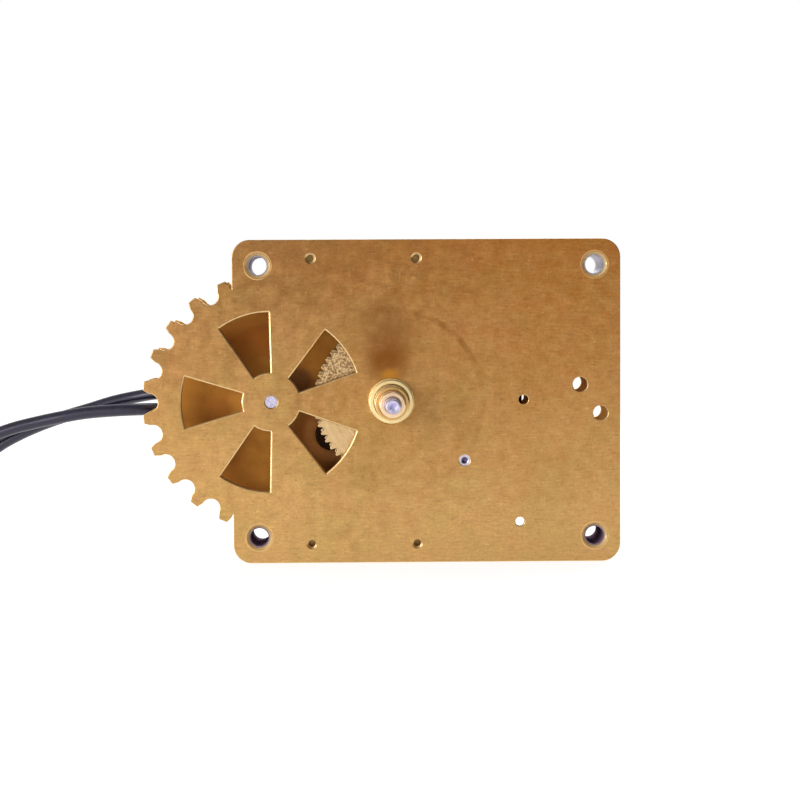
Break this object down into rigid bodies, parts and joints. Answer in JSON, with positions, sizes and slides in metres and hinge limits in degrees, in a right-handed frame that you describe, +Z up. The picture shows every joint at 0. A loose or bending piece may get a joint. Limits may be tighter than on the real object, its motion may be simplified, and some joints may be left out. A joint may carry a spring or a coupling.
{
  "type": "tower clock movement",
  "caption": "Tower clock movement with two brass plates, a half gear edge with sector windows, motion work, gear motor and leads.",
  "frame": {"origin": "on the hands' axis, at the front face of the front plate, where the front boss starts", "axes": "+Z up, with the movement standing on the bottom edges of its plates; -Y along the hands' axis towards the dial side; +X to the right as seen from the dial side, along the plates' length"},
  "size_m": [0.4204, 0.1843, 0.15],
  "materials": {
    "plate_brass": "brushed, lightly tarnished",
    "wheel_brass": "turned, satin",
    "turned_brass": "turned, polished",
    "arbor_steel": "ground, bright",
    "sleeve_steel": "turned, nickel plated",
    "spring_steel": "rolled, satin",
    "magnet": "nickel plated",
    "gearbox_zinc": "die cast, satin",
    "can_metal": "drawn, satin",
    "grommet_rubber": "matt",
    "sensor_plastic": "moulded, satin",
    "saddle_plastic": "moulded, fine grain",
    "cable_sheath": "smooth PVC, soft shine",
    "connector_plastic": "moulded nylon"
  },
  "bodies": {
    "frame": {"front_plate": "plate_brass", "back_plate": "plate_brass", "corner_sleeves": "sleeve_steel", "corner_nuts": "sleeve_steel", "dial_pillars": "turned_brass", "pillar_screws": "sleeve_steel", "centre_post": "arbor_steel", "front_bush": "turned_brass", "rear_bush": "turned_brass", "motor_gearbox": "gearbox_zinc", "motor_can": "can_metal", "motor_grommet": "grommet_rubber", "motor_screws": "sleeve_steel", "sensor_body": "sensor_plastic", "sensor_screws": "sleeve_steel", "saddle_base": "saddle_plastic", "saddle_cap": "saddle_plastic", "saddle_screws": "sleeve_steel", "motor_lead": "cable_sheath", "sensor_lead": "cable_sheath", "motor_cable": "cable_sheath", "sensor_cable": "cable_sheath", "motor_coil": "cable_sheath", "sensor_coil": "cable_sheath", "motor_plug": "connector_plastic", "sensor_plug": "connector_plastic"},
    "minute": {"centre_arbor": "arbor_steel", "minute_sleeve": "turned_brass", "cannon_pinion": "turned_brass", "centre_wheel": "wheel_brass", "centre_collet": "turned_brass", "clutch_spring": "spring_steel", "index_magnet": "magnet"},
    "motion": {"motion_arbor": "arbor_steel", "minute_wheel": "wheel_brass", "hour_pinion": "turned_brass"},
    "hour": {"hour_wheel": "wheel_brass", "hour_pipe": "turned_brass"},
    "motor_rotor": {"motor_shaft": "arbor_steel", "motor_pinion": "arbor_steel"}
  },
  "joints": [
    {"name": "minute_turn", "type": "hinge", "parent": "frame", "child": "minute", "pos_m": [0, 0.016, 0], "axis": [0, 1, 0], "continuous": true},
    {"name": "motion_turn", "type": "hinge", "parent": "frame", "child": "motion", "pos_m": [0.03395, 0.016, -0.02759], "axis": [0, 1, 0], "continuous": true},
    {"name": "hour_turn", "type": "hinge", "parent": "frame", "child": "hour", "pos_m": [0, 0.006, 0], "axis": [0, 1, 0], "continuous": true},
    {"name": "motor_turn", "type": "hinge", "parent": "frame", "child": "motor_rotor", "pos_m": [-0.01278, 0.02, 0.04053], "axis": [0, 1, 0], "continuous": true}
  ],
  "couplings": [
    {"joint": "motion_turn", "follows": "minute_turn", "ratio": -0.33333},
    {"joint": "hour_turn", "follows": "minute_turn", "ratio": 0.083333},
    {"joint": "motor_turn", "follows": "minute_turn", "ratio": -4.6667}
  ]
}
